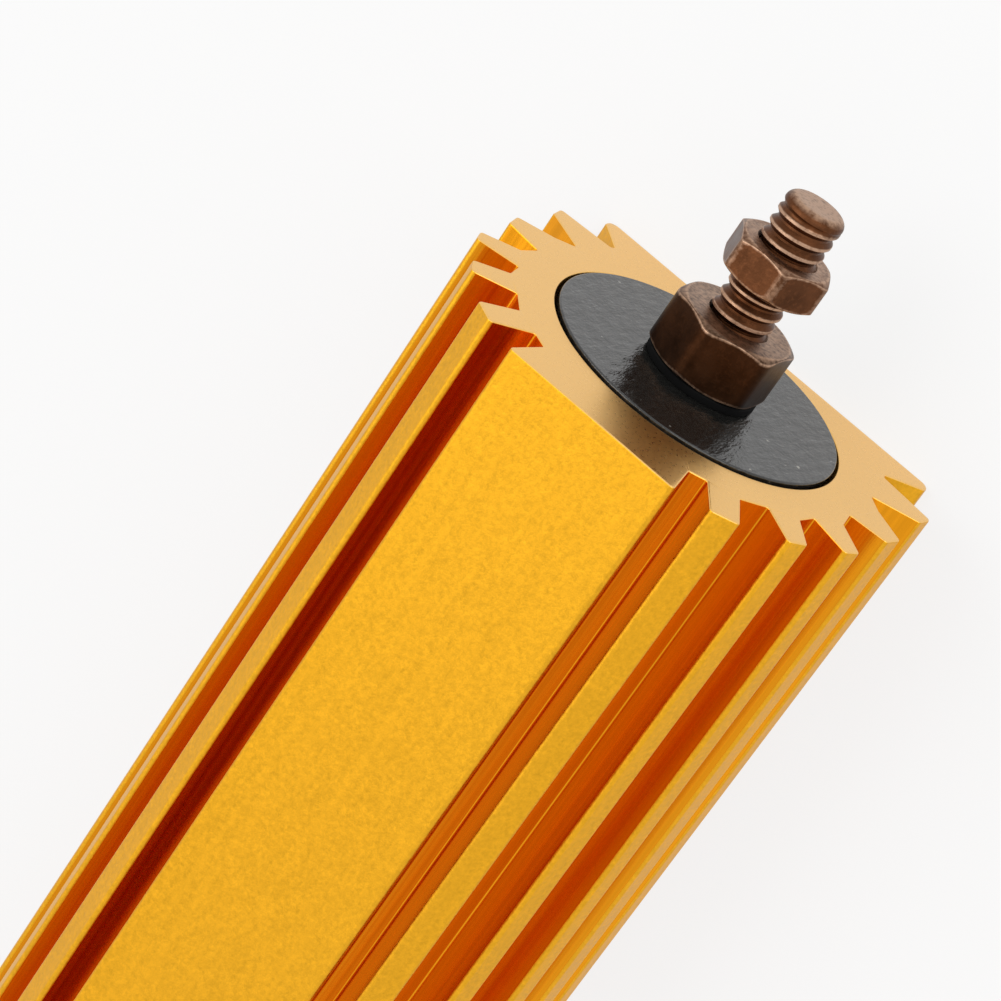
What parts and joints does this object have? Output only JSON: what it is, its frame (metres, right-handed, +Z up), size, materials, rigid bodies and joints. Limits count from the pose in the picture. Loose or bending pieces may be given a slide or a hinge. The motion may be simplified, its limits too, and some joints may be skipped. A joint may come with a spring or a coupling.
{
  "type": "power_resistor",
  "caption": "Wirewound power resistor in a finned gold-anodised aluminium housing, with a threaded screw terminal and two hex nuts sealed into each end of its bore.",
  "frame": {"origin": "centre of the base flat, below the middle of the bore", "axes": "+X along the bore, +Y across the body, +Z up from the base flat to the top flat"},
  "size_m": [0.1916, 0.0488, 0.0408],
  "materials": {
    "gold_anodised": "gold anodised, fine sand-blasted grain",
    "ceramic": "fired ceramic, matte",
    "resistance_wire": "drawn alloy wire, slightly oxidised",
    "cap_steel": "pressed steel",
    "dark_bronze": "darkened bronze plating, satin",
    "cement": "rough cured cement",
    "black_seal": "cast black compound, semi-gloss",
    "black_washer": "moulded, smooth"
  },
  "bodies": {
    "root": {"housing": "gold_anodised", "ceramic_core": "ceramic", "resistance_winding": "resistance_wire", "end_cap_front": "cap_steel", "end_cap_rear": "cap_steel", "terminal_stud_front": "dark_bronze", "terminal_stud_rear": "dark_bronze", "cement_filler": "cement", "end_seal_front": "black_seal", "end_seal_rear": "black_seal", "insulating_washer_front": "black_washer", "insulating_washer_rear": "black_washer", "base_nut_front": "dark_bronze", "base_nut_rear": "dark_bronze", "terminal_nut_front": "dark_bronze", "terminal_nut_rear": "dark_bronze"}
  },
  "joints": []
}
